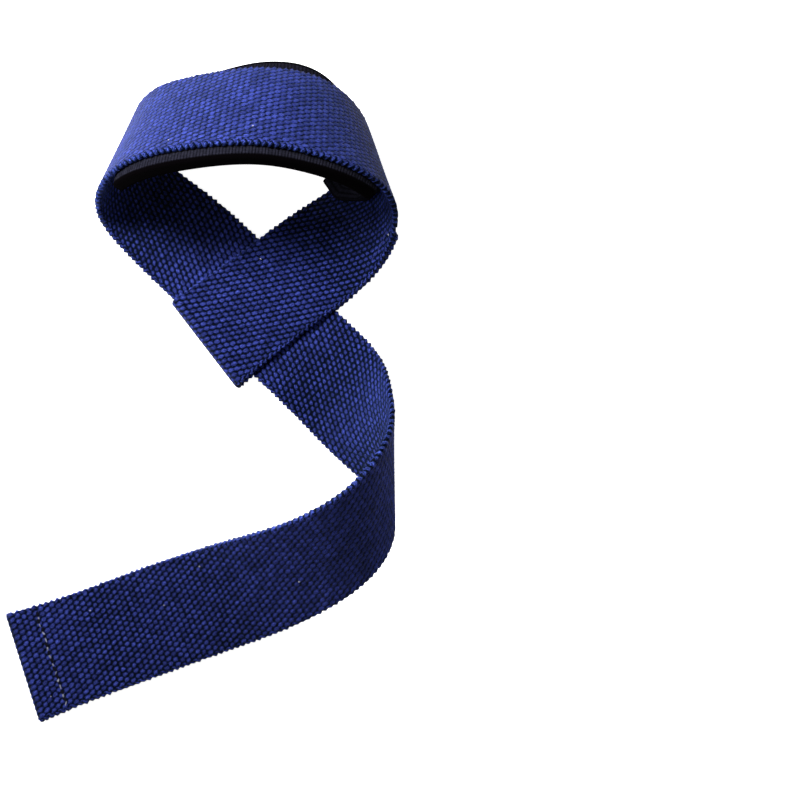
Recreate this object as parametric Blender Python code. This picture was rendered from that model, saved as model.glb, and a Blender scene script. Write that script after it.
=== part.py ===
"""Padded wrist lifting strap, lying on a flat surface.

One length of flat webbing is folded back and sewn into a short eye, runs round the wrist loop
over a soft pad, passes through its own eye and trails off as the long tail with a hemmed end.
Metres, +Z up, origin under the crossing on the surface that the strap lies on.
"""
import math

import bmesh
import bpy
import numpy as np
from mathutils import Vector

# Webbing
STRAP_WIDTH = 0.038
STRAP_THICKNESS = 0.0022
LAYER_GAP = 0.0003          # clearance between layers, and from the strap to the pad
EDGE_ROUNDING = 0.0006      # how far the selvedge's corners are cut back
END_FLARE = 0.0009          # how far the webbing spreads to each side at a folded end
FLARE_REACH = 0.030         # length over which it spreads

# Lengths along the webbing, measured from the crossing
LOOP_LENGTH = 0.2737        # round the wrist, crossing to crossing
TAIL_LENGTH = 0.2417        # crossing to the hemmed end
EYE_LENGTH = 0.0221         # crossing to the fold at the eye's end
TURN_BACK = 0.062           # crossing to the cut end of the doubled layer
EYE_CLOSING = 0.018         # length over which the eye's two layers come together
CROSSING_FLAT = 0.019       # how far the stacked layers stay flat
HEM_DEPTH = 0.009           # how much is folded under at the tail's end
HEM_FLAT = 0.0144           # flat stretch at the tail's end
START_HEADING = math.radians(37.8)

# Wrist pad, inside the top of the loop
PAD_WIDTH = 0.0445
PAD_THICKNESS = 0.0054
PAD_LENGTH = 0.100
PAD_MIDDLE = 0.486          # where its middle sits, as a share of the loop
PAD_SKEW = 0.0008           # how far its ends sit off the strap's middle, one to each side
PAD_ROUNDING = 0.0014

STATION_PITCH = 0.0042      # spacing of the sections along the webbing
FEWEST_STATIONS = 9         # sections on even the shortest stretch
FOLD_STEPS = 6              # sections round a fold
FACE_COLUMNS = 4            # faces across the webbing and the pad, so that a twist stays smooth
SHARP_ANGLE = math.radians(35.0)

# Sections of the loop and of the tail between their flat ends. Share is the place along that
# stretch. Bend curls the webbing towards its inner face, twist turns it about its own run, and
# sway curves it to its far edge in its own plane, all in turns per whole length.
COLUMNS = ("share", "bend", "twist", "sway")
LOOP_ROWS = (
    (0.10, 1.11, -0.96, 0.00),
    (0.21, 1.82, -0.39, 0.02),
    (0.32, 1.08, -0.40, 0.07),
    (0.44, 0.96, 0.07, 0.06),
    (0.56, 0.38, 0.09, 0.11),
    (0.68, 1.27, 0.08, 0.16),
    (0.79, 2.23, 0.56, -0.02),
    (0.90, 0.54, 0.65, -0.23),
)
TAIL_ROWS = (
    (0.10, 0.91, 0.71, -0.22),
    (0.20, -0.09, 0.94, -0.15),
    (0.30, 1.33, 0.99, -0.10),
    (0.41, 1.44, 0.60, -0.03),
    (0.51, 0.72, 0.42, 0.02),
    (0.61, 0.26, 0.40, 0.04),
    (0.72, -0.30, 0.22, 0.04),
    (0.82, -0.14, 0.27, -0.02),
    (0.92, -0.45, 0.19, 0.02),
)

# What follows from the sizes
LAYER_STEP = STRAP_THICKNESS + LAYER_GAP
FRONT_HEIGHT = 0.5 * STRAP_THICKNESS + 2 * LAYER_STEP
PASSING_HEIGHT = 0.5 * STRAP_THICKNESS + LAYER_STEP

# How the tables are settled, so that the loop closes and everything rests
SOLVE_STATIONS = 81
SOLVE_ROUNDS = 12
SOLVE_NUDGE = 1e-5          # change of a bend or twist that measures its effect, in turns
LARGEST_CHANGE = 0.3        # of a bend or twist in one round, in turns
LEAST_EFFECT = 1e-6         # effects smaller than this share of the largest are left out


def eased(place, places, values):
    """Value at each place, eased between the rows of a table."""
    row = np.clip(np.searchsorted(places, place, side="right") - 1, 0, len(places) - 2)
    part = np.clip((place - places[row]) / (places[row + 1] - places[row]), 0.0, 1.0)
    part = (part * part * (3.0 - 2.0 * part))[:, None]
    return values[row] + (values[row + 1] - values[row]) * part


def rotation(turn):
    """Rotation matrix for a rotation vector."""
    angle = float(np.linalg.norm(turn))
    if angle == 0.0:
        return np.eye(3)
    x, y, z = turn / angle
    cross = np.array([[0.0, -z, y], [z, 0.0, -x], [-y, x, 0.0]])
    return np.eye(3) + math.sin(angle) * cross + (1.0 - math.cos(angle)) * cross @ cross


def flat_frame(heading):
    """Run, edge and inner-face directions of webbing lying flat, inner face up, as columns."""
    run = np.array([math.cos(heading), math.sin(heading), 0.0])
    up = np.array([0.0, 0.0, 1.0])
    return np.stack([run, np.cross(up, run), up], axis=1)


def walk(length, rows, flat_start, flat_end, frame, start, count):
    """Centres and frames along webbing that bends, twists and sways as its rows say."""
    free = length - flat_start - flat_end
    places = np.concatenate([[0.0, flat_start], flat_start + rows[:, 0] * free,
                             [length - flat_end, length]])
    turns = np.pad(rows[:, 1:], ((2, 2), (0, 0))) * 2.0 * math.pi / length
    along = np.linspace(0.0, length, count)
    step = length / (count - 1)
    middle = along[:-1] + step / 2.0
    centres, frames = [np.array(start)], [np.array(frame)]
    for bend, twist, sway in eased(middle, places, turns):
        turn = np.array([twist, -bend, sway]) * step
        halfway = frames[-1] @ rotation(turn / 2.0)
        centres.append(centres[-1] + halfway[:, 0] * step)
        frames.append(frames[-1] @ rotation(turn))
    return along, np.array(centres), np.array(frames)


def lowest(centres, frames, depth):
    """How far the webbing's edges reach below the surface, given its depth under the centre."""
    edge = frames[:, 2, 1] * STRAP_WIDTH / 2.0
    under = np.abs(frames[:, 2, 2]) * depth
    return min(0.0, float((centres[:, 2] - np.abs(edge) - under).min()))


def loop_miss(rows):
    """What keeps the loop from closing on its lower layer, and from lying on the surface."""
    start = (0.0, 0.0, FRONT_HEIGHT)
    along, centres, frames = walk(LOOP_LENGTH, rows, CROSSING_FLAT, CROSSING_FLAT,
                                  flat_frame(START_HEADING), start, SOLVE_STATIONS)
    ahead = (along > CROSSING_FLAT) & (along < TURN_BACK)
    doubled = lowest(centres[ahead], frames[ahead], LAYER_STEP + STRAP_THICKNESS / 2.0)
    rest = lowest(centres[~ahead], frames[~ahead], STRAP_THICKNESS / 2.0)
    end = (centres[-1] - (0.0, 0.0, PASSING_HEIGHT)) / STRAP_WIDTH
    return np.concatenate([end, frames[-1][:2, 2], [doubled / STRAP_WIDTH, rest / STRAP_WIDTH]])


def tail_miss(rows, frame):
    """What keeps the tail's hem from lying flat on the surface."""
    start = (0.0, 0.0, PASSING_HEIGHT)
    _, centres, frames = walk(TAIL_LENGTH, rows, CROSSING_FLAT, HEM_FLAT, frame, start,
                              SOLVE_STATIONS)
    under = lowest(centres, frames, STRAP_THICKNESS / 2.0)
    hem_height = STRAP_THICKNESS / 2.0 + LAYER_STEP
    end = (centres[-1][2] - hem_height) / STRAP_WIDTH
    return np.array([end, frames[-1][0, 2], frames[-1][1, 2], under / STRAP_WIDTH])


def settled(rows, miss):
    """Rows with the least change to their bends and twists that leaves no miss."""
    rows = np.array(rows)
    for _ in range(SOLVE_ROUNDS):
        now = miss(rows)
        slopes = []
        for place in range(len(rows)):
            for column in (COLUMNS.index("bend"), COLUMNS.index("twist")):
                nudged = rows.copy()
                nudged[place, column] += SOLVE_NUDGE
                slopes.append((miss(nudged) - now) / SOLVE_NUDGE)
        change = np.linalg.lstsq(np.array(slopes).T, -now, rcond=LEAST_EFFECT)[0]
        rows[:, 1:3] += np.clip(change.reshape(-1, 2), -LARGEST_CHANGE, LARGEST_CHANGE)
    return rows


def stations(length):
    """How many sections a stretch of webbing gets."""
    return max(FEWEST_STATIONS, int(round(length / STATION_PITCH)) + 1)


def main_run():
    """The webbing from the eye's fold to the hem: place along it, centres and frames."""
    frame = flat_frame(START_HEADING)
    top = np.array([0.0, 0.0, FRONT_HEIGHT])
    loop_rows = settled(LOOP_ROWS, loop_miss)
    loop = walk(LOOP_LENGTH, loop_rows, CROSSING_FLAT, CROSSING_FLAT, frame, top,
                stations(LOOP_LENGTH))
    passing = loop[2][-1]
    tail_rows = settled(TAIL_ROWS, lambda rows: tail_miss(rows, passing))
    tail = walk(TAIL_LENGTH, tail_rows, CROSSING_FLAT, HEM_FLAT, passing, loop[1][-1],
                stations(TAIL_LENGTH))
    eye_along = np.linspace(-EYE_LENGTH, 0.0, stations(EYE_LENGTH))[:-1]
    eye = (eye_along, top + eye_along[:, None] * frame[:, 0],
           np.repeat(frame[None], len(eye_along), axis=0))
    along = np.concatenate([eye[0], loop[0], LOOP_LENGTH + tail[0][1:]])
    centres = np.concatenate([eye[1], loop[1], tail[1][1:]])
    frames = np.concatenate([eye[2], loop[2], tail[2][1:]])
    return along, centres, frames


def turned_under(centres, frames, outward, side, spacing):
    """Sections that fold an end over and carry it back: centres, edge and face directions.

    The given stretch starts at the end. Outward is +1 where the run points out of the end and
    -1 where it points in, side is the face that it folds towards, and spacing is the distance
    between the layers at each station.
    """
    run, edge, face = (frames[:, :, axis] for axis in range(3))
    radius = spacing[0] / 2.0
    hub = centres[0] + side * face[0] * radius
    angle = np.linspace(0.0, math.pi, FOLD_STEPS + 1)[1:-1, None]
    out = -side * face[0] * np.cos(angle) + outward * run[0] * np.sin(angle)
    back = centres + side * face * spacing[:, None]
    fold_edge = np.repeat(edge[:1], len(out), axis=0)
    return (np.concatenate([hub + out * radius, back]), np.concatenate([fold_edge, edge]),
            np.concatenate([-side * out, -face]))


def strap_sections():
    """Every section of the strap in order, from the doubled layer's cut end to the hem's."""
    along, centres, frames = main_run()
    doubled = along <= TURN_BACK
    closing = np.clip((along[doubled] - CROSSING_FLAT) / EYE_CLOSING, 0.0, 1.0)
    closing = closing * closing * (3.0 - 2.0 * closing)
    eye = turned_under(centres[doubled], frames[doubled], -1.0, -1.0,
                       LAYER_STEP * (2.0 - closing))
    end = along[-1]
    hemmed = along >= end - HEM_DEPTH
    hem = turned_under(centres[hemmed][::-1], frames[hemmed][::-1], 1.0, 1.0,
                       np.full(hemmed.sum(), LAYER_STEP))
    near_end = np.minimum(along + EYE_LENGTH, end - along)
    spread = np.clip(1.0 - near_end / FLARE_REACH, 0.0, 1.0) ** 2 * END_FLARE
    half = STRAP_WIDTH / 2.0 + spread
    eye_half = np.full(len(eye[0]), STRAP_WIDTH / 2.0) + END_FLARE
    eye_half[FOLD_STEPS - 1:] = half[doubled]
    hem_half = np.full(len(hem[0]), half[-1])
    hem_half[FOLD_STEPS - 1:] = half[hemmed][::-1]
    return (np.concatenate([eye[0][::-1], centres, hem[0]]),
            np.concatenate([eye[1][::-1], frames[:, :, 1], hem[1]]),
            np.concatenate([eye[2][::-1], frames[:, :, 2], hem[2]]),
            np.concatenate([eye_half[::-1], half, hem_half]))


def pad_sections():
    """Sections of the pad, carried inside the loop at the clearance from the strap."""
    along, centres, frames = main_run()
    middle = PAD_MIDDLE * LOOP_LENGTH
    under = np.abs(along - middle) <= PAD_LENGTH / 2.0
    edge, face = frames[under][:, :, 1], frames[under][:, :, 2]
    depth = STRAP_THICKNESS / 2.0 + LAYER_GAP + PAD_THICKNESS / 2.0
    skew = PAD_SKEW * (middle - along[under]) / (PAD_LENGTH / 2.0)
    return centres[under] + face * depth + edge * skew[:, None], edge, face


def profile(half_width, half_thickness, rounding):
    """Corners of a flat section with cut-back corners and split wide faces, in order round it."""
    wide, thick = half_width, half_thickness
    flat = wide - rounding
    across = [flat - 2.0 * flat * column / FACE_COLUMNS for column in range(FACE_COLUMNS + 1)]
    return [(wide, -thick + rounding), (wide, thick - rounding), *((x, thick) for x in across),
            (-wide, thick - rounding), (-wide, -thick + rounding), *((-x, -thick) for x in across)]


def lofted(name, centres, edges, faces, profiles, material):
    """Closed body through flat sections, capped at both ends."""
    body = bmesh.new()
    rings = []
    for centre, edge, face, corners in zip(centres, edges, faces, profiles):
        rings.append([body.verts.new(Vector(centre + edge * x + face * y)) for x, y in corners])
    for ring, following in zip(rings, rings[1:]):
        for corner in range(len(ring)):
            after = (corner + 1) % len(ring)
            body.faces.new((ring[corner], ring[after], following[after], following[corner]))
    body.faces.new(list(reversed(rings[0])))
    body.faces.new(rings[-1])
    bmesh.ops.triangulate(body, faces=body.faces[:])
    bmesh.ops.recalc_face_normals(body, faces=body.faces[:])
    mesh = bpy.data.meshes.new(name)
    body.to_mesh(mesh)
    body.free()
    mesh.shade_smooth()
    mesh.set_sharp_from_angle(angle=SHARP_ANGLE)
    mesh.materials.append(material)
    built = bpy.data.objects.new(name, mesh)
    bpy.context.scene.collection.objects.link(built)
    return built


def cloth_material(name, colour, roughness):
    material = bpy.data.materials.new(name)
    material.use_nodes = True
    shader = material.node_tree.nodes["Principled BSDF"]
    shader.inputs["Base Color"].default_value = (*colour, 1.0)
    shader.inputs["Roughness"].default_value = roughness
    shader.inputs["Metallic"].default_value = 0.0
    return material


def make_strap():
    centres, edges, faces, halves = strap_sections()
    profiles = [profile(half, STRAP_THICKNESS / 2.0, EDGE_ROUNDING) for half in halves]
    navy = cloth_material("navy_webbing", (0.03, 0.045, 0.18), 0.85)
    return lofted("strap", centres, edges, faces, profiles, navy)


def make_pad():
    centres, edges, faces = pad_sections()
    section = profile(PAD_WIDTH / 2.0, PAD_THICKNESS / 2.0, PAD_ROUNDING)
    black = cloth_material("black_pad", (0.012, 0.012, 0.015), 0.9)
    return lofted("wrist_pad", centres, edges, faces, [section] * len(centres), black)


def main():
    for old in list(bpy.data.objects):
        bpy.data.objects.remove(old, do_unlink=True)
    make_strap()
    make_pad()


main()
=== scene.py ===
# Padded wrist lifting strap on a pale studio floor.
# The webbing follows the route of the frame's solid, as a woven surface with beaded selvedges,
# sewn stitches and a knit-faced pad.
import math
import bpy
import numpy as np
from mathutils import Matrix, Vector


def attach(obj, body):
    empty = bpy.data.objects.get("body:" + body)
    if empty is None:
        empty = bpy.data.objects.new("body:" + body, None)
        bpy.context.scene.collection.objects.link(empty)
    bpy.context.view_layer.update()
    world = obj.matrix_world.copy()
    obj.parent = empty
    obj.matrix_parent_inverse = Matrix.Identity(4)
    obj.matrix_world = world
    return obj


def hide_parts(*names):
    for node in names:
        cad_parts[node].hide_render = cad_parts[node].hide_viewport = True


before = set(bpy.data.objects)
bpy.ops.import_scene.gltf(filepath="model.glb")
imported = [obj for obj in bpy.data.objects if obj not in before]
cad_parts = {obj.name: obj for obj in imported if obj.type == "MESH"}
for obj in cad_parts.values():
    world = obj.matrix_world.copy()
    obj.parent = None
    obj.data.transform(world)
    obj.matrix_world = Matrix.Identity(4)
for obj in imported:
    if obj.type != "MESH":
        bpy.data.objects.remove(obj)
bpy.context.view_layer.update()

# The webbing's sizes and route, in metres: the solid's own, with a slightly shorter sewn eye
webbing = dict(width=0.038, thickness=0.0022, gap=0.0003, flare=0.0009, flareReach=0.030,
               loop=0.2737, tail=0.2417, eye=0.0203, turnBack=0.0585, closing=0.018,
               crossingFlat=0.019, sewnStep=0.0018, sewnThin=0.22, sewnFade=0.006,
               hem=0.009, hemFlat=0.0144, heading=math.radians(37.8))

# Rows of share, bend, twist and sway between the flat ends, in turns per whole length
loopRows = np.array([
    (0.10, 1.11, -0.96, 0.00), (0.21, 1.82, -0.39, 0.02), (0.32, 1.08, -0.40, 0.07),
    (0.44, 0.96, 0.07, 0.06), (0.56, 0.38, 0.09, 0.11), (0.68, 1.27, 0.08, 0.16),
    (0.79, 2.23, 0.56, -0.02), (0.90, 0.54, 0.65, -0.23)])
tailRows = np.array([
    (0.10, 0.91, 0.71, -0.22), (0.20, -0.09, 0.94, -0.15), (0.30, 1.33, 0.99, -0.10),
    (0.41, 1.44, 0.60, -0.03), (0.51, 0.72, 0.42, 0.02), (0.61, 0.26, 0.40, 0.04),
    (0.72, -0.30, 0.22, 0.04), (0.82, -0.14, 0.27, -0.02), (0.92, -0.45, 0.19, 0.02)])

layerStep = webbing["thickness"] + webbing["gap"]
frontHeight = 0.5 * webbing["thickness"] + 2 * layerStep
passingHeight = 0.5 * webbing["thickness"] + layerStep
solving = dict(stations=81, rounds=12, nudge=1e-5, largest=0.3, least=1e-6)


def eased(place, places, values):
    # smoothstep from one row of the table to the next
    row = np.clip(np.searchsorted(places, place, side="right") - 1, 0, len(places) - 2)
    part = np.clip((place - places[row]) / (places[row + 1] - places[row]), 0.0, 1.0)
    part = (part * part * (3.0 - 2.0 * part))[:, None]
    return values[row] + (values[row + 1] - values[row]) * part


def rotations(turns):
    # rotation matrix of each rotation vector: I + sin(a) K + (1 - cos(a)) K K
    angle = np.linalg.norm(turns, axis=1)
    x, y, z = (turns / np.maximum(angle, 1e-12)[:, None]).T
    none = np.zeros_like(x)
    cross = np.stack([none, -z, y, z, none, -x, -y, x, none], axis=1).reshape(-1, 3, 3)
    sine, cosine = np.sin(angle)[:, None, None], np.cos(angle)[:, None, None]
    return np.eye(3) + sine * cross + (1.0 - cosine) * (cross @ cross)


def flatFrame(heading):
    run = np.array([math.cos(heading), math.sin(heading), 0.0])
    up = np.array([0.0, 0.0, 1.0])
    return np.stack([run, np.cross(up, run), up], axis=1)


def walk(length, rows, flatStart, flatEnd, start, startFrame, count):
    # centres and frames (run, edge, inner face) of webbing that bends, twists and sways
    free = length - flatStart - flatEnd
    places = np.concatenate([[0.0, flatStart], flatStart + rows[:, 0] * free,
                             [length - flatEnd, length]])
    turns = np.pad(rows[:, 1:], ((2, 2), (0, 0))) * 2.0 * math.pi / length
    along = np.linspace(0.0, length, count)
    step = length / (count - 1)
    here = eased(along[:-1] + step / 2.0, places, turns)
    turn = np.stack([here[:, 1], -here[:, 0], here[:, 2]], axis=1) * step
    whole, half = rotations(turn), rotations(turn / 2.0)
    frames = [startFrame]
    for each in whole:
        frames.append(frames[-1] @ each)
    frames = np.array(frames)
    steps = np.einsum("nij,njk->nik", frames[:-1], half)[:, :, 0] * step
    return along, np.concatenate([[start], start + np.cumsum(steps, axis=0)]), frames


def lowest(centres, frames, depth):
    reach = np.abs(frames[:, 2, 1]) * webbing["width"] / 2.0 + np.abs(frames[:, 2, 2]) * depth
    return min(0.0, float((centres[:, 2] - reach).min()))


def loopMiss(rows):
    # what keeps the loop from closing on its lower layer and from lying on the floor
    w = webbing
    along, centres, frames = walk(w["loop"], rows, w["crossingFlat"], w["crossingFlat"],
                                  np.array([0.0, 0.0, frontHeight]), flatFrame(w["heading"]),
                                  solving["stations"])
    ahead = (along > w["crossingFlat"]) & (along < w["turnBack"])
    doubled = lowest(centres[ahead], frames[ahead], layerStep + w["thickness"] / 2.0)
    rest = lowest(centres[~ahead], frames[~ahead], w["thickness"] / 2.0)
    end = (centres[-1] - (0.0, 0.0, passingHeight)) / w["width"]
    return np.concatenate([end, frames[-1][:2, 2], [doubled / w["width"], rest / w["width"]]])


def tailMiss(rows, startFrame):
    # what keeps the hem from lying flat on the floor
    w = webbing
    _, centres, frames = walk(w["tail"], rows, w["crossingFlat"], w["hemFlat"],
                              np.array([0.0, 0.0, passingHeight]), startFrame,
                              solving["stations"])
    under = lowest(centres, frames, w["thickness"] / 2.0)
    end = (centres[-1][2] - passingHeight) / w["width"]
    return np.array([end, frames[-1][0, 2], frames[-1][1, 2], under / w["width"]])


def settled(rows, miss):
    # the least change to bends and twists that leaves no miss
    rows = rows.copy()
    for _ in range(solving["rounds"]):
        now = miss(rows)
        slopes = []
        for place in range(len(rows)):
            for column in (1, 2):
                nudged = rows.copy()
                nudged[place, column] += solving["nudge"]
                slopes.append((miss(nudged) - now) / solving["nudge"])
        change = np.linalg.lstsq(np.array(slopes).T, -now, rcond=solving["least"])[0]
        rows[:, 1:3] += np.clip(change.reshape(-1, 2), -solving["largest"], solving["largest"])
    return rows


def mainRun(pitch):
    # the webbing from the eye's fold to the hem: place along it, centres and frames
    w = webbing
    count = lambda length: int(round(length / pitch)) + 1
    startFrame = flatFrame(w["heading"])
    top = np.array([0.0, 0.0, frontHeight])
    loop = walk(w["loop"], settled(loopRows, loopMiss), w["crossingFlat"], w["crossingFlat"],
                top, startFrame, count(w["loop"]))
    passing = loop[2][-1]
    tail = walk(w["tail"], settled(tailRows, lambda rows: tailMiss(rows, passing)),
                w["crossingFlat"], w["hemFlat"], loop[1][-1], passing, count(w["tail"]))
    eyeAlong = np.linspace(-w["eye"], 0.0, count(w["eye"]))[:-1]
    eye = top + eyeAlong[:, None] * startFrame[:, 0]
    along = np.concatenate([eyeAlong, loop[0], w["loop"] + tail[0][1:]])
    centres = np.concatenate([eye, loop[1], tail[1][1:]])
    frames = np.concatenate([np.repeat(startFrame[None], len(eye), axis=0), loop[2], tail[2][1:]])
    return along, centres, frames


def turnedUnder(centres, frames, outward, side, spacing, steps):
    # a fold round a half circle and the layer that it carries back, starting at the end
    run, edge, face = (frames[:, :, axis] for axis in range(3))
    radius = spacing[0] / 2.0
    hub = centres[0] + side * face[0] * radius
    angle = np.linspace(0.0, math.pi, steps + 1)[1:-1, None]
    out = -side * face[0] * np.cos(angle) + outward * run[0] * np.sin(angle)
    back = centres + side * face * spacing[:, None]
    return (np.concatenate([hub + out * radius, back]),
            np.concatenate([np.repeat(edge[:1], len(out), axis=0), edge]),
            np.concatenate([-side * out, -face]))


def strapSections(pitch):
    # every section of the strap from the doubled layer's cut end to the hem's cut end
    w = webbing
    along, centres, frames = mainRun(pitch)
    doubled = along <= w["turnBack"]
    closing = np.clip((along[doubled] - w["crossingFlat"]) / w["closing"], 0.0, 1.0)
    closing = closing * closing * (3.0 - 2.0 * closing)
    spacing = 2.0 * layerStep + (w["sewnStep"] - 2.0 * layerStep) * closing
    eye = turnedUnder(centres[doubled], frames[doubled], -1.0, -1.0, spacing,
                      int(math.pi * spacing[0] / 2.0 / pitch) + 2)
    end = along[-1]
    hemmed = along >= end - w["hem"]
    hem = turnedUnder(centres[hemmed][::-1], frames[hemmed][::-1], 1.0, 1.0,
                      np.full(hemmed.sum(), layerStep), int(math.pi * layerStep / 2.0 / pitch) + 2)
    nearEnd = np.minimum(along + w["eye"], end - along)
    half = w["width"] / 2.0 + np.clip(1.0 - nearEnd / w["flareReach"], 0.0, 1.0) ** 2 * w["flare"]
    eyeHalf = np.concatenate([np.full(len(eye[0]) - doubled.sum(), half[0]), half[doubled]])
    hemHalf = np.concatenate([np.full(len(hem[0]) - hemmed.sum(), half[-1]),
                              half[hemmed][::-1]])
    # sewn layers are pressed thinner, from where the eye has closed to its cut end
    press = np.clip((along - w["crossingFlat"]) / w["closing"], 0.0, 1.0)
    press *= np.clip((w["turnBack"] + w["sewnFade"] - along) / w["sewnFade"], 0.0, 1.0)
    thin = 1.0 - w["sewnThin"] * press * press * (3.0 - 2.0 * press)
    eyeThin = np.concatenate([np.ones(len(eye[0]) - doubled.sum()), thin[doubled]])
    parts = [(eye[0], centres, hem[0]), (eye[1], frames[:, :, 1], hem[1]),
             (eye[2], frames[:, :, 2], hem[2]), (eyeHalf, half, hemHalf),
             (eyeThin, thin, np.ones(len(hem[0])))]
    joined = [np.concatenate([a[::-1], b, c]) for a, b, c in parts]
    gone = np.linalg.norm(np.diff(joined[0], axis=0), axis=1)
    place = np.concatenate([[0.0], np.cumsum(gone)])
    return (*joined, place - place[len(eye[0]) + int(np.argmin(np.abs(along)))])


def gridMesh(name, points, material, place, stretch=None):
    # closed tube of quads over rings of points, with both ends capped by a strip of quads
    rings, around = points.shape[:2]
    index = np.arange(rings * around).reshape(rings, around)
    after = np.roll(index, -1, axis=1)
    quads = np.stack([index[:-1], after[:-1], after[1:], index[1:]], axis=-1).reshape(-1, 4)
    cap = np.arange(around // 2 - 1)
    strip = np.stack([cap, around - 1 - cap, around - 2 - cap, cap + 1], axis=-1)
    quads = np.concatenate([quads, strip, strip[:, ::-1] + (rings - 1) * around])
    mesh = bpy.data.meshes.new(name)
    mesh.from_pydata(points.reshape(-1, 3).tolist(), [], quads.tolist())
    mesh.validate()
    mesh.shade_smooth()
    data = mesh.attributes.new("place", "FLOAT_VECTOR", "POINT")
    data.data.foreach_set("vector", place.reshape(-1).astype(np.float32))
    if stretch is not None:
        data = mesh.attributes.new("stretch", "FLOAT", "POINT")
        data.data.foreach_set("value", stretch.reshape(-1).astype(np.float32))
    mesh.materials.append(material)
    made = bpy.data.objects.new(name, mesh)
    bpy.context.scene.collection.objects.link(made)
    return made


# Plain weave of the webbing: one warp yarn in each column, over and under once in a period
weave = dict(period=0.004237, column=0.000989, relief=0.00012, flatSteps=37, rimRound=0.7,
             scallop=0.00036, scallopSteps=3, scallopLow=0.35, scallopHigh=1.5,
             stretchRadius=0.030, stretchLeast=-0.5, stretchMost=0.9, stretchSmooth=6,
             foldReach=0.008, bow=0.0025, bowAt=0.358, bowReach=0.045, bowEdge=0.64,
             droop=0.0018, droopAt=0.121, droopReach=0.050, seed=7)


def hump(place, at, reach):
    # 1 at the middle, falling as a parabola to 0 at the reach
    return np.clip(1.0 - ((place - at) / reach) ** 2, 0.0, 1.0)


def webbingPoints(sections):
    # a flat band with rounded selvedges, lifted by cos(along) * sin(across) like a plain weave
    q = weave
    centres, edges, faces, halves, thin, place = sections
    half, deep = webbing["width"] / 2.0, webbing["thickness"] / 2.0
    flat = np.arange(-q["flatSteps"], q["flatSteps"] + 1) * q["column"] / 2.0
    turn = np.radians([45.0, 90.0, 135.0])
    bulge = half - flat[-1]
    across = np.concatenate([flat[::-1], -flat[-1] - bulge * np.sin(turn),
                             flat, flat[-1] + bulge * np.sin(turn)])
    height = np.concatenate([np.full(len(flat), 1.0), np.cos(turn),
                             np.full(len(flat), -1.0), -np.cos(turn)])
    side = np.abs(across) > flat[-1] + 1e-9
    rise = np.where(side, np.sign(height) * np.abs(height) ** q["rimRound"], height) * deep
    # the weave counts rings and not millimetres, so that every bump falls on a ring
    u = (np.arange(len(place)) - int(np.argmin(np.abs(place))))[:, None] * q["period"] / 4.0
    wave = np.cos(2.0 * math.pi * u / q["period"]) * np.sin(math.pi * across / q["column"])
    wave = wave * np.where(side, 0.0, q["relief"])
    # each loop of weft at the selvedge stands out by its own amount, staggered between the edges
    scallop = np.cos(4.0 * math.pi * u / q["period"] + np.where(across > 0.0, 0.0, math.pi))
    random = np.random.default_rng(q["seed"])
    uneven = random.uniform(q["scallopLow"], q["scallopHigh"], (len(u) // 2 + 1, 2))
    uneven = np.repeat(uneven, 2, axis=0)[:len(u)]
    uneven = np.where(across > 0.0, uneven[:, :1], uneven[:, 1:])
    rimFrom = flat[-1 - q["scallopSteps"]]
    scallop = np.clip((np.abs(across) - rimFrom) / (half - rimFrom), 0.0, 1.0) * scallop * uneven
    spread = across * halves[:, None] / half + np.sign(across) * scallop * q["scallop"]
    # where the tail curls over, its middle bows out and its edges draw in
    curl = hump(place, q["bowAt"], q["bowReach"]) ** 2
    bow = q["bow"] * curl[:, None] * (q["bowEdge"] - (across / half) ** 2)
    # over the pad's top the far edge droops
    top = hump(place, q["droopAt"], q["droopReach"])
    bow = bow - q["droop"] * top[:, None] * np.clip(across / half, 0.0, 1.0) ** 2
    points = (centres[:, None] + edges[:, None] * spread[..., None]
              + faces[:, None] * (rise * thin[:, None] + wave - bow)[..., None])
    where = np.stack(np.broadcast_arrays(u * 1000.0, across * 1000.0, height), axis=-1)
    # how much the bend draws the floats out on its outer side, 1 where its radius is 30 mm
    step = np.gradient(place)[:, None]
    run = np.gradient(centres, axis=0) / step
    bend = (np.gradient(run, axis=0) / step * faces).sum(axis=1)
    reach = q["stretchSmooth"]
    window = np.full(2 * reach + 1, 1.0 / (2 * reach + 1))
    bend = np.convolve(np.pad(bend, reach, mode="edge"), window, mode="valid")
    stretch = np.clip(-bend[:, None] * height * q["stretchRadius"],
                      q["stretchLeast"], q["stretchMost"])
    fold, hem = -webbing["eye"], webbing["loop"] + webbing["tail"]
    clear = np.minimum(np.abs(place - fold), np.abs(place - hem))
    stretch *= np.clip(clear / q["foldReach"] - 1.0, 0.0, 1.0)[:, None]
    return points, where, stretch


def addNode(tree, kind, inputs=None, **settings):
    node = tree.nodes.new(kind)
    for name, value in settings.items():
        setattr(node, name, value)
    for name, value in (inputs or {}).items():
        if isinstance(value, bpy.types.NodeSocket):
            tree.links.new(value, node.inputs[name])
        else:
            node.inputs[name].default_value = value
    return node


def calc(tree, operation, *values):
    node = addNode(tree, "ShaderNodeMath", dict(enumerate(values)), operation=operation)
    return node.outputs[0]


def remap(tree, value, low, high, newLow=0.0, newHigh=1.0, smooth=True):
    kind = "SMOOTHSTEP" if smooth else "LINEAR"
    node = addNode(tree, "ShaderNodeMapRange", {0: value, 1: low, 2: high, 3: newLow, 4: newHigh},
                   interpolation_type=kind)
    return node.outputs[0]


def mixColour(tree, factor, first, second):
    node = addNode(tree, "ShaderNodeMix", {0: factor, 6: first, 7: second}, data_type="RGBA")
    return node.outputs[2]


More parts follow.
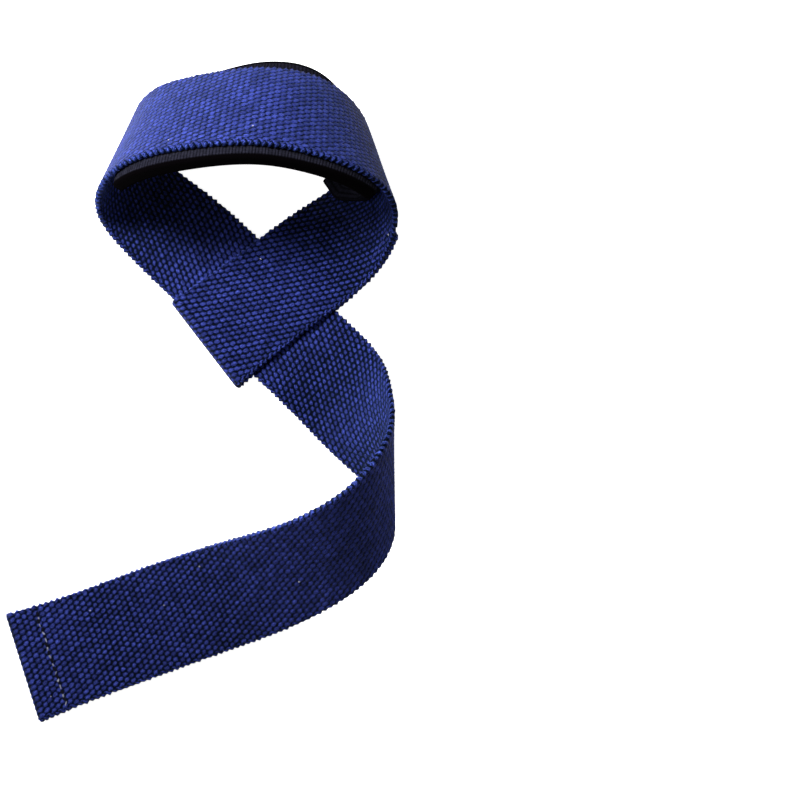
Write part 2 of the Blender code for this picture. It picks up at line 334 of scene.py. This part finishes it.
def newGroup(name, inputs, outputs):
    group = bpy.data.node_groups.new(name, "ShaderNodeTree")
    for label, (kind, value) in inputs.items():
        socket = group.interface.new_socket(label, in_out="INPUT", socket_type=kind)
        if value is not None:
            socket.default_value = value
    for label, kind in outputs.items():
        group.interface.new_socket(label, in_out="OUTPUT", socket_type=kind)
    start = group.nodes.new("NodeGroupInput")
    return group, start.outputs, group.nodes.new("NodeGroupOutput").inputs


number, vector = "NodeSocketFloat", "NodeSocketVector"

# The weave as it is shaded, in millimetres: how yarns wander, stretch, twist and turn at the rim
yarn = dict(driftScale=0.4, driftAlong=3.0, jitterScale=1.3, jitterAlong=1.1, jitterAcross=0.4,
            stretchLong=0.3, stretchWide=0.2, plyLean=0.55, fibreAlong=1.1, fibreAcross=4.0,
            blend=0.1, loopAt=18.5, loopLean=0.7, loopTop=18.6, loopLong=0.9, loopWide=0.75,
            loopsFrom=17.9, loopsFull=18.3, rimFrom=18.4, rimFull=19.0,
            domeRise=0.5, toneRise=0.08, fibreRise=0.12, plyRise=0.2, topLow=0.12, topHigh=1.04)


def plainWeaveGroup():
    # Place is along, across and face in mm. Each float is a dome, the root of
    # 1 - (a / length)^2 - (w / width)^2, on a staggered lattice with one column to a yarn, and
    # the selvedge is a row of larger domes.
    q = yarn
    tree, given, out = newGroup(
        "plainWeave",
        {"Place": (vector, None), "Stretch": (number, 0.0), "Period": (number, 4.237),
         "Column": (number, 0.989), "Wander": (number, 0.28), "Long": (number, 1.10),
         "Wide": (number, 0.85), "Slant": (number, 0.26), "Ply": (number, 0.5)},
        {"Height": number, "Top": number, "Tone": number, "Strand": number, "Edge": number,
         "Twist": number})
    split = addNode(tree, "ShaderNodeSeparateXYZ", {0: given["Place"]}).outputs
    drift = addNode(tree, "ShaderNodeTexNoise", {"Vector": given["Place"],
                                                 "Scale": q["driftScale"], "Detail": 2.0})
    drift = addNode(tree, "ShaderNodeSeparateColor", {0: drift.outputs["Color"]}).outputs
    shift = [calc(tree, "MULTIPLY", calc(tree, "SUBTRACT", drift[i], 0.5), given["Wander"])
             for i in (0, 1)]
    jitter = addNode(tree, "ShaderNodeTexNoise", {"Vector": given["Place"],
                                                  "Scale": q["jitterScale"], "Detail": 1.0})
    jitter = addNode(tree, "ShaderNodeSeparateColor", {0: jitter.outputs["Color"]}).outputs
    u = calc(tree, "MULTIPLY_ADD", shift[0], q["driftAlong"], split[0])
    u = calc(tree, "MULTIPLY_ADD", calc(tree, "SUBTRACT", jitter[0], 0.5), q["jitterAlong"], u)
    v = calc(tree, "ADD", split[1], shift[1])
    v = calc(tree, "MULTIPLY_ADD", calc(tree, "SUBTRACT", jitter[1], 0.5), q["jitterAcross"], v)
    across = calc(tree, "DIVIDE", v, given["Column"])
    column = calc(tree, "FLOOR", across)
    within = calc(tree, "SUBTRACT", calc(tree, "SUBTRACT", across, column), 0.5)
    back = calc(tree, "LESS_THAN", split[2], 0.0)
    phase = calc(tree, "DIVIDE", u, given["Period"])
    phase = calc(tree, "MULTIPLY_ADD", column, 0.5, phase)
    phase = calc(tree, "MULTIPLY_ADD", back, 0.5, phase)
    sign = calc(tree, "SIGN", within)
    long = calc(tree, "MULTIPLY_ADD", given["Stretch"], q["stretchLong"], given["Long"])
    wide = calc(tree, "MULTIPLY_ADD", given["Stretch"], q["stretchWide"], given["Wide"])

    def dome(away, aside, length, width):
        lean = calc(tree, "MULTIPLY_ADD", away, given["Slant"], aside)
        a = calc(tree, "DIVIDE", away, length)
        w = calc(tree, "DIVIDE", lean, width)
        left = calc(tree, "SUBTRACT", 1.0, calc(tree, "MULTIPLY_ADD", a, a,
                                                calc(tree, "MULTIPLY", w, w)))
        return calc(tree, "SQRT", calc(tree, "MAXIMUM", left, 0.0))

    def floatAt(step):
        # the float in this column or in the nearest one beside it
        here = calc(tree, "MULTIPLY_ADD", calc(tree, "MULTIPLY", sign, step), 0.5, phase)
        which = calc(tree, "FLOOR", calc(tree, "ADD", here, 0.5))
        away = calc(tree, "MULTIPLY", calc(tree, "SUBTRACT", here, which), given["Period"])
        aside = calc(tree, "SUBTRACT", within, calc(tree, "MULTIPLY", sign, step))
        aside = calc(tree, "MULTIPLY", aside, given["Column"])
        lay = calc(tree, "MULTIPLY_ADD", away, q["plyLean"], aside)
        ply = calc(tree, "SINE", calc(tree, "DIVIDE", calc(tree, "MULTIPLY", lay, math.pi),
                                      given["Ply"]))
        return which, dome(away, aside, long, wide), calc(tree, "ABSOLUTE", ply)

    (ownId, own, ownPly), (besideId, beside, besidePly) = floatAt(0.0), floatAt(1.0)
    over = calc(tree, "GREATER_THAN", beside, own)
    under = calc(tree, "SUBTRACT", 1.0, over)
    columnId = calc(tree, "MULTIPLY_ADD", sign, over, column)
    floatId = calc(tree, "ADD", calc(tree, "MULTIPLY", besideId, over),
                   calc(tree, "MULTIPLY", ownId, under))
    ident = addNode(tree, "ShaderNodeCombineXYZ", {0: columnId, 1: floatId, 2: back}).outputs[0]
    tone = addNode(tree, "ShaderNodeTexWhiteNoise", {"Vector": ident}).outputs["Value"]
    strandPlace = addNode(tree, "ShaderNodeCombineXYZ",
                          {0: calc(tree, "MULTIPLY", u, q["fibreAlong"]),
                           1: calc(tree, "MULTIPLY", v, q["fibreAcross"]),
                           2: split[2]}).outputs[0]
    strand = addNode(tree, "ShaderNodeTexNoise", {"Vector": strandPlace, "Scale": 1.0,
                                                  "Detail": 3.0}).outputs["Fac"]
    ply = calc(tree, "ADD", calc(tree, "MULTIPLY", besidePly, over),
               calc(tree, "MULTIPLY", ownPly, under))
    body = calc(tree, "SMOOTH_MAX", own, beside, q["blend"])
    # selvedge: one loop of weft for each half period, staggered between the two edges
    rim = calc(tree, "ABSOLUTE", split[1])
    loop = calc(tree, "DIVIDE", u, calc(tree, "MULTIPLY", given["Period"], 0.5))
    loop = calc(tree, "MULTIPLY_ADD", calc(tree, "LESS_THAN", split[1], 0.0), 0.5, loop)
    loop = calc(tree, "SUBTRACT", loop, calc(tree, "FLOOR", calc(tree, "ADD", loop, 0.5)))
    loop = calc(tree, "MULTIPLY", loop, calc(tree, "MULTIPLY", given["Period"], 0.5))
    lean = calc(tree, "SUBTRACT", rim, q["loopAt"])
    turned = dome(calc(tree, "MULTIPLY_ADD", lean, q["loopLean"], loop),
                  calc(tree, "SUBTRACT", rim, q["loopTop"]), q["loopLong"], q["loopWide"])
    edge = remap(tree, rim, q["loopsFrom"], q["loopsFull"])
    top = calc(tree, "ADD", calc(tree, "MULTIPLY", body, calc(tree, "SUBTRACT", 1.0, edge)),
               calc(tree, "MULTIPLY", turned, edge))
    height = calc(tree, "MULTIPLY", top, q["domeRise"])
    for value, rise in ((tone, q["toneRise"]), (strand, q["fibreRise"]), (ply, q["plyRise"])):
        height = calc(tree, "ADD", height, calc(tree, "MULTIPLY", value, rise))
    for label, value in (("Height", height), ("Top", remap(tree, top, q["topLow"], q["topHigh"])),
                         ("Tone", tone), ("Strand", strand),
                         ("Edge", remap(tree, rim, q["rimFrom"], q["rimFull"])), ("Twist", ply)):
        tree.links.new(value, out[label])
    return tree


def placeOf(tree):
    return addNode(tree, "ShaderNodeAttribute", attribute_name="place").outputs["Vector"]


def newMaterial(name, **fixed):
    material = bpy.data.materials.new(name)
    material.use_nodes = True
    shader = material.node_tree.nodes["Principled BSDF"]
    for label, value in fixed.items():
        shader.inputs[label].default_value = value
    return material, material.node_tree, shader.inputs


# Navy cotton: dark between the yarns, partly the darker yarn beneath and partly painted shade,
# lighter on their backs, each yarn with its own tone
cotton = dict(pitDyeAndShade=(0.0002, 0.0014, 0.0065), back=(0.0245, 0.035, 0.195), rim=(0.025, 0.041, 0.20),
              toneLow=0.68, toneHigh=1.32, fibreLow=0.38, fibreHigh=1.62, cloudScale=0.09,
              cloudLow=0.88, cloudHigh=1.12, plyShade=0.02, plyHighlight=1.66, bump=0.0011)


def cottonMaterial(group):
    q = cotton
    material, tree, shader = newMaterial("navyWebbing", **{
        "Roughness": 0.5, "Specular IOR Level": 0.06, "Specular Tint": (0.6, 0.72, 1.0, 1.0),
        "Sheen Weight": 0.08, "Sheen Roughness": 0.35, "Sheen Tint": (0.2, 0.36, 1.0, 1.0)})
    use = addNode(tree, "ShaderNodeGroup", node_tree=group)
    tree.links.new(placeOf(tree), use.inputs["Place"])
    stretch = addNode(tree, "ShaderNodeAttribute", attribute_name="stretch").outputs["Fac"]
    tree.links.new(stretch, use.inputs["Stretch"])
    # towards the selvedge the colour turns slightly lighter: painted sheen along the rim
    back = mixColour(tree, use.outputs["Edge"], (*q["back"], 1.0), (*q["rim"], 1.0))
    # between the floats the colour falls to the pit colour: darker yarn there and painted shade in
    # the gaps
    base = mixColour(tree, use.outputs["Top"], (*q["pitDyeAndShade"], 1.0), back)
    tint = remap(tree, use.outputs["Tone"], 0.0, 1.0, q["toneLow"], q["toneHigh"], False)
    strand = remap(tree, use.outputs["Strand"], 0.3, 0.7, q["fibreLow"], q["fibreHigh"], False)
    cloud = addNode(tree, "ShaderNodeTexNoise", {"Vector": placeOf(tree),
                                                 "Scale": q["cloudScale"],
                                                 "Detail": 2.0}).outputs["Fac"]
    cloud = remap(tree, cloud, 0.3, 0.7, q["cloudLow"], q["cloudHigh"], False)
    # across each float the colour swings with the plies: painted highlight on each ply and painted
    # shade in the groove between them
    ply = remap(tree, use.outputs["Twist"], 0.0, 1.0, q["plyShade"], q["plyHighlight"], False)
    shade = calc(tree, "MULTIPLY", calc(tree, "MULTIPLY", tint, strand), cloud)
    shade = calc(tree, "MULTIPLY", shade, ply)
    scale = addNode(tree, "ShaderNodeVectorMath", {0: base, 3: shade}, operation="SCALE")
    tree.links.new(scale.outputs[0], shader["Base Color"])
    bump = addNode(tree, "ShaderNodeBump", {"Height": use.outputs["Height"],
                                            "Distance": q["bump"], "Strength": 1.0})
    tree.links.new(bump.outputs[0], shader["Normal"])
    return material


navyCotton = cottonMaterial(plainWeaveGroup())
sections = strapSections(weave["period"] / 4.0)
points, where, stretch = webbingPoints(sections)
strap = gridMesh("webbing", points, navyCotton, where, stretch)

# The pad inside the top of the loop
pad = dict(width=0.0463, thickness=0.0054, length=0.100, middle=0.486, skew=0.0008,
           rib=0.00085, ribDepth=0.00005, squareness=7.0, endRound=0.0007, endThin=0.18,
           slant=0.034, slantReach=1.5, tuck=0.16, corner=0.06, cornerRate=5.0, cornerFrom=1.5,
           farOut=0.0039, farAt=-0.016, farReach=0.036, droopMost=1.25, rings=471, around=112)


def padPoints():
    # a superellipse section carried along the strap, thinned at its ends and ribbed across; its
    # end on the front leg slants, so its far corner reaches further down that leg
    w, q = webbing, pad
    along, centres, frames = mainRun(0.001)
    place = np.linspace(-0.5, 0.5, q["rings"])[:, None] * q["length"]
    turn = np.linspace(0.0, 2.0 * math.pi, q["around"], endpoint=False)[None]
    power = 2.0 / q["squareness"]
    x = np.sign(np.cos(turn)) * np.abs(np.cos(turn)) ** power * q["width"] / 2.0
    y = np.sign(np.sin(turn)) * np.abs(np.sin(turn)) ** power * q["thickness"] / 2.0
    farSide = np.clip(x / q["width"] * 2.0, 0.0, 1.0)
    front = np.clip(-place / q["length"] * 2.0, 0.0, 1.0) ** 2
    far = np.clip((x / q["width"] * 2.0 + 1.0) / q["slantReach"], 0.0, 1.0)
    far = far * far * (3.0 - 2.0 * far)
    where = q["middle"] * w["loop"] + place - q["slant"] * front * far
    pick = lambda values: np.stack([np.interp(where.ravel(), along, values[:, i])
                                    for i in range(3)], axis=1).reshape(*where.shape, 3)
    centre, edge, face = pick(centres), pick(frames[:, :, 1]), pick(frames[:, :, 2])
    near = np.clip((q["length"] / 2.0 - np.abs(place)) / q["endRound"], 0.0, 1.0)
    ends = 1.0 - q["endThin"] + q["endThin"] * np.sqrt(1.0 - (1.0 - near) ** 2)
    ribs = (1.0 - np.cos(2.0 * math.pi * place / q["rib"])) * q["ribDepth"]
    out = x * (1.0 - q["tuck"] * front * farSide) - q["skew"] * place / (q["length"] / 2.0)
    rounded = np.clip(place / q["length"] * q["cornerRate"] - q["cornerFrom"], 0.0, 1.0)
    out *= 1.0 - q["corner"] * rounded ** 2
    out += q["farOut"] * hump(place, q["farAt"], q["farReach"]) * farSide
    droop = np.clip(out / w["width"] * 2.0, 0.0, q["droopMost"]) ** 2
    droop = weave["droop"] * hump(where, weave["droopAt"], weave["droopReach"]) * droop
    depth = w["thickness"] / 2.0 + w["gap"] + q["thickness"] / 2.0 + droop
    points = (centre + edge * out[..., None]
              + face * (depth + y * ends - np.sign(y) * ribs)[..., None])
    return points, np.stack(np.broadcast_arrays(place * 1000.0, x * 1000.0, y * 1000.0), axis=-1)


# Black knit: its courses and wales in millimetres, its face and its plain side strip, which is
# coloured far darker than the face
knit = dict(face=(0.0042, 0.0042, 0.0068), side=(0.0007, 0.0005, 0.0007), noiseScale=1.6,
            wobble=0.5, waleRise=0.35, noiseRise=0.6, sideFrom=21.2, sideFull=22.0,
            heightLow=0.3, heightHigh=1.5, shadeLow=0.1, shadeHigh=2.4, toneLow=0.8, toneHigh=1.2,
            bump=0.00012, bumpStrength=0.8, sidePlain=0.8)


def knitGroup():
    # fine courses across the pad and wales along it: two crossed rows of rounded loops
    q = knit
    tree, given, out = newGroup("fineKnit", {"Place": (vector, None), "Course": (number, 1.1),
                                             "Wale": (number, 0.8)},
                                {"Height": number, "Tone": number})
    split = addNode(tree, "ShaderNodeSeparateXYZ", {0: given["Place"]}).outputs
    noise = addNode(tree, "ShaderNodeTexNoise", {"Vector": given["Place"],
                                                 "Scale": q["noiseScale"],
                                                 "Detail": 3.0}).outputs["Fac"]
    u = calc(tree, "MULTIPLY_ADD", noise, q["wobble"], split[0])
    course = calc(tree, "DIVIDE", u, given["Course"])
    wale = calc(tree, "DIVIDE", split[1], given["Wale"])
    rows = calc(tree, "ABSOLUTE", calc(tree, "SINE", calc(tree, "MULTIPLY", course, math.pi)))
    loops = calc(tree, "ABSOLUTE", calc(tree, "SINE", calc(tree, "MULTIPLY", wale, math.pi)))
    height = calc(tree, "MULTIPLY_ADD", loops, q["waleRise"], rows)
    ident = addNode(tree, "ShaderNodeCombineXYZ", {0: calc(tree, "FLOOR", course),
                                                   1: calc(tree, "FLOOR", wale)}).outputs[0]
    tone = addNode(tree, "ShaderNodeTexWhiteNoise", {"Vector": ident}).outputs["Value"]
    tree.links.new(calc(tree, "MULTIPLY_ADD", noise, q["noiseRise"], height), out["Height"])
    tree.links.new(tone, out["Tone"])
    return tree


def knitMaterial(group):
    q = knit
    material, tree, shader = newMaterial("blackKnit", **{
        "Roughness": 0.95, "Specular IOR Level": 0.0, "Sheen Weight": 0.004,
        "Sheen Roughness": 0.5})
    use = addNode(tree, "ShaderNodeGroup", node_tree=group)
    where = placeOf(tree)
    tree.links.new(where, use.inputs["Place"])
    across = addNode(tree, "ShaderNodeSeparateXYZ", {0: where}).outputs[1]
    side = remap(tree, calc(tree, "ABSOLUTE", across), q["sideFrom"], q["sideFull"])
    # the colour follows the knit's height: painted shade in the hollows between loops and painted
    # highlight on their tops
    tint = remap(tree, use.outputs["Height"], q["heightLow"], q["heightHigh"],
                 q["shadeLow"], q["shadeHigh"], False)
    tone = remap(tree, use.outputs["Tone"], 0.0, 1.0, q["toneLow"], q["toneHigh"], False)
    tint = calc(tree, "MULTIPLY", tint, tone)
    face = addNode(tree, "ShaderNodeVectorMath", {0: q["face"], 3: tint}, operation="SCALE")
    final = mixColour(tree, side, face.outputs[0], (*q["side"], 1.0))
    tree.links.new(final, shader["Base Color"])
    rough = calc(tree, "SUBTRACT", 1.0, calc(tree, "MULTIPLY", side, q["sidePlain"]))
    height = calc(tree, "MULTIPLY", use.outputs["Height"], rough)
    bump = addNode(tree, "ShaderNodeBump", {"Height": height, "Distance": q["bump"],
                                            "Strength": q["bumpStrength"]})
    tree.links.new(bump.outputs[0], shader["Normal"])
    return material


blackKnit = knitMaterial(knitGroup())
points, where = padPoints()
padMesh = gridMesh("padBody", points, blackKnit, where)
print("pad", 2 * len(padMesh.data.polygons), "triangles")

# Stitches and lint: small rounded lengths of thread that lie on a face of the webbing
stitch = dict(hemFrom=0.0088, hemEdge=0.0177, hemPitch=0.0029, hemLong=0.0017, hemThick=0.00027,
              hemWander=0.00012, hemRagged=0.00038, hemLeast=0.6, hemMost=1.15,
              holeFrom=0.95, holeOver=0.0001, holeThick=0.0006, holeSink=-0.1,
              boxFrom=0.0440, boxTo=0.0560, boxPitch=0.0024, boxLong=0.0019, boxThick=0.00020,
              margin=0.0155, steps=9, around=8, fibreScale=900.0, fibreBump=0.0001, seed=11)


def threads(name, starts, ends, up, thick, material, arch=0.35):
    # each is a bowed capsule: its centre is start + (end - start) t + up sin(pi t), and its
    # radius fades at both ends
    steps, around = stitch["steps"], stitch["around"]
    t = np.linspace(0.0, 1.0, steps)[None, :, None, None]
    turn = np.linspace(0.0, 2.0 * math.pi, around, endpoint=False)[None, None, :, None]
    run = ends - starts
    length = np.linalg.norm(run, axis=1)
    side = np.cross(up, run) / length[:, None]
    start, run, up, side = (value[:, None, None, :] for value in (starts, run, up, side))
    thick = np.broadcast_to(thick, length.shape)[:, None, None, None]
    radius = thick * np.sqrt(np.clip(1.0 - np.abs(2.0 * t - 1.0) ** 3, 0.02, 1.0))
    points = (start + run * t + up * np.sin(math.pi * t) * thick * arch * 2.0
              + radius * (side * np.cos(turn) + up * np.sin(turn) * 0.8))
    index = np.arange(len(starts) * steps * around).reshape(-1, steps, around)
    after = np.roll(index, -1, axis=2)
    quads = np.stack([index[:, :-1], after[:, :-1], after[:, 1:], index[:, 1:]], axis=-1)
    caps = np.concatenate([index[:, 0, ::-1], index[:, -1, :]])
    mesh = bpy.data.meshes.new(name)
    mesh.from_pydata(points.reshape(-1, 3).tolist(), [],
                     quads.reshape(-1, 4).tolist() + caps.tolist())
    mesh.shade_smooth()
    mesh.materials.append(material)
    made = bpy.data.objects.new(name, mesh)
    bpy.context.scene.collection.objects.link(made)
    return made


def onWebbing(along, across, side):
    # point and outward direction on a face of the webbing, side +1 for its inner face
    centres, edges, faces, _, thin, place = sections
    at = lambda values: np.stack([np.interp(along, place, values[:, i]) for i in range(3)], axis=1)
    up = at(faces) * np.reshape(side, (-1, 1))
    deep = webbing["thickness"] / 2.0 * np.interp(along, place, thin)
    return at(centres) + at(edges) * across[:, None] + up * deep[:, None], up


def threadMaterial(name, base, roughness, spread):
    # cotton thread with a fine twist across it and uneven dirt; the same material gives the needle
    # holes their painted shade
    material, tree, shader = newMaterial(name, **{"Roughness": roughness,
                                                  "Specular IOR Level": 0.1})
    where = addNode(tree, "ShaderNodeTexCoord").outputs["Object"]
    noise = addNode(tree, "ShaderNodeTexNoise", {"Vector": where, "Scale": stitch["fibreScale"],
                                                 "Detail": 2.0}).outputs["Fac"]
    scale = addNode(tree, "ShaderNodeVectorMath", {
        0: base, 3: remap(tree, noise, 0.3, 0.7, 1.0 - spread, 1.0 + spread, False)},
        operation="SCALE")
    tree.links.new(scale.outputs[0], shader["Base Color"])
    bump = addNode(tree, "ShaderNodeBump", {"Height": noise, "Distance": stitch["fibreBump"]})
    tree.links.new(bump.outputs[0], shader["Normal"])
    return material


def hemStitches(pale, dark):
    # one uneven row across the tail: pale lengths, with dark sunk capsules of painted shade for
    # the needle holes between them
    q = stitch
    random = np.random.default_rng(q["seed"])
    across = np.arange(-q["hemEdge"], q["hemEdge"] - q["hemPitch"] / 2.0, q["hemPitch"])
    across = across + random.normal(0.0, q["hemWander"], len(across))
    line = webbing["loop"] + webbing["tail"] - q["hemFrom"]
    ragged = random.normal(0.0, q["hemRagged"], (2, len(across)))
    long = q["hemLong"] * random.uniform(q["hemLeast"], q["hemMost"], len(across))
    starts, up = onWebbing(line + ragged[0], across, -1.0)
    ends, _ = onWebbing(line + ragged[1], across + long, -1.0)
    thick = q["hemThick"] * random.uniform(q["hemLeast"], q["hemMost"], len(across))
    row = threads("hemStitches", starts, ends, up, thick, pale)
    # the needle holes are dark capsules sunk between the stitches: painted shade
    holes, _ = onWebbing(line + ragged[1], across + long * q["holeFrom"], -1.0)
    after, _ = onWebbing(line + ragged[0], across + q["hemPitch"] + q["holeOver"], -1.0)
    return row, threads("needleHoleShade", holes, after, up, q["holeThick"], dark, q["holeSink"])


def boxStitches(material):
    # two rows along the edges that close the eye, seen on the loop's inner face
    q = stitch
    runs = np.arange(q["boxFrom"], q["boxTo"], q["boxPitch"])
    along = np.tile(runs, 2)
    across = np.repeat([q["margin"], -q["margin"]], len(runs))
    starts, up = onWebbing(along, across, 1.0)
    ends, _ = onWebbing(along + q["boxLong"], across, 1.0)
    return threads("boxStitches", starts, ends, up, q["boxThick"], material)


# Loose fibres: place along the webbing, place across it, and its face
lint = dict(shortest=0.0004, longest=0.0009, thick=0.00011, arch=1.2)
lintPlaces = np.array([
    (0.5105, -0.0130, -1.0), (0.5070, -0.0085, -1.0), (0.4880, 0.0110, -1.0),
    (0.4610, 0.0040, -1.0), (0.4420, 0.0130, -1.0), (0.4100, -0.0040, -1.0),
    (0.0120, 0.0120, 1.0), (0.0570, -0.0175, 1.0), (0.1300, -0.0120, -1.0),
    (0.1580, -0.0150, -1.0)])


def lintSpecks(material):
    # each fibre lies at its own angle on a visible face of the webbing
    random = np.random.default_rng(stitch["seed"] + 1)
    along, across, side = lintPlaces.T
    turn = random.uniform(0.0, math.pi, len(along))
    long = random.uniform(lint["shortest"], lint["longest"], len(along))
    starts, up = onWebbing(along, across, side)
    ends, _ = onWebbing(along + long * np.cos(turn), across + long * np.sin(turn), side)
    return threads("lint", starts, ends, up, lint["thick"], material, lint["arch"])


paleThread = threadMaterial("paleThread", (0.17, 0.18, 0.23), 0.7, 0.7)
navyThread = threadMaterial("navyThread", (0.035, 0.045, 0.20), 0.6, 0.3)
lintFibre = threadMaterial("lintFibre", (0.62, 0.63, 0.68), 0.8, 0.2)
holeShade = threadMaterial("holeShade", (0.0015, 0.002, 0.006), 0.9, 0.4)
hemRow, needleHoleShade = hemStitches(paleThread, holeShade)
boxRows, fibres = boxStitches(navyThread), lintSpecks(lintFibre)
print("stitches and lint ready")

# Floor, light and camera
studio = dict(floor=(0.80, 0.80, 0.81), radius=3.0, corners=96, under=0.0002, glow=0.97,
              world=0.12, aim=(0.0, 0.0, 0.03))
lights = dict(keyLight=dict(at=(-0.14, 0.115, 0.27), size=0.10, power=2.35),
              fillLight=dict(at=(-0.42, -0.08, 0.30), size=0.3, power=1.0),
              rimLight=dict(at=(0.36, 0.02, 0.15), size=0.25, power=0.28))


def makeFloor():
    # a wide disc just under the lowest yarns
    q = studio
    turn = np.linspace(0.0, 2.0 * math.pi, q["corners"], endpoint=False)
    rim = np.stack([q["radius"] * np.cos(turn), q["radius"] * np.sin(turn),
                    np.full(q["corners"], -q["under"])], axis=1)
    mesh = bpy.data.meshes.new("floor")
    mesh.from_pydata(rim.tolist(), [], [list(range(q["corners"]))])
    material, tree, shader = newMaterial("paleFloor", **{
        "Base Color": (*q["floor"], 1.0), "Roughness": 0.9, "Specular IOR Level": 0.1,
        "Emission Color": (1.0, 1.0, 1.0, 1.0)})
    # seen directly, the floor glows like a lit table, so that it stays white in the picture
    seen = addNode(tree, "ShaderNodeLightPath").outputs["Is Camera Ray"]
    tree.links.new(calc(tree, "MULTIPLY", seen, q["glow"]), shader["Emission Strength"])
    mesh.materials.append(material)
    floor = bpy.data.objects.new("floor", mesh)
    bpy.context.scene.collection.objects.link(floor)
    return floor


def areaLight(name, at, size, power):
    light = bpy.data.lights.new(name, "AREA")
    light.shape = "DISK"
    light.size = size
    light.energy = power
    holder = bpy.data.objects.new(name, light)
    holder.location = at
    aim = Vector(studio["aim"]) - Vector(at)
    holder.rotation_euler = aim.to_track_quat("-Z", "Y").to_euler()
    bpy.context.scene.collection.objects.link(holder)


floor = makeFloor()
for name, light in lights.items():
    areaLight(name, **light)
world = bpy.data.worlds.new("studio")
world.use_nodes = True
world.node_tree.nodes["Background"].inputs["Strength"].default_value = studio["world"]
world.node_tree.nodes["Background"].inputs["Color"].default_value = (1.0, 1.0, 1.0, 1.0)
bpy.context.scene.world = world
bpy.context.scene.view_settings.view_transform = "Standard"

view = dict(at=(0.05286, -0.11337, 0.55013), tilt=math.radians(8.19), lens=68.34, near=0.01)
camera = bpy.data.objects.new("camera", bpy.data.cameras.new("camera"))
camera.data.lens = view["lens"]
camera.data.clip_start = view["near"]
camera.location = view["at"]
camera.rotation_euler = (view["tilt"], 0.0, 0.0)
bpy.context.scene.collection.objects.link(camera)
bpy.context.scene.camera = camera
print("studio ready")

for piece, node, slot in ((strap, "strap", "webbing"), (padMesh, "wrist_pad", "pad")):
    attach(piece, "root")
    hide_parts(node)
for piece in (hemRow, needleHoleShade, boxRows, fibres):
    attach(piece, "root")
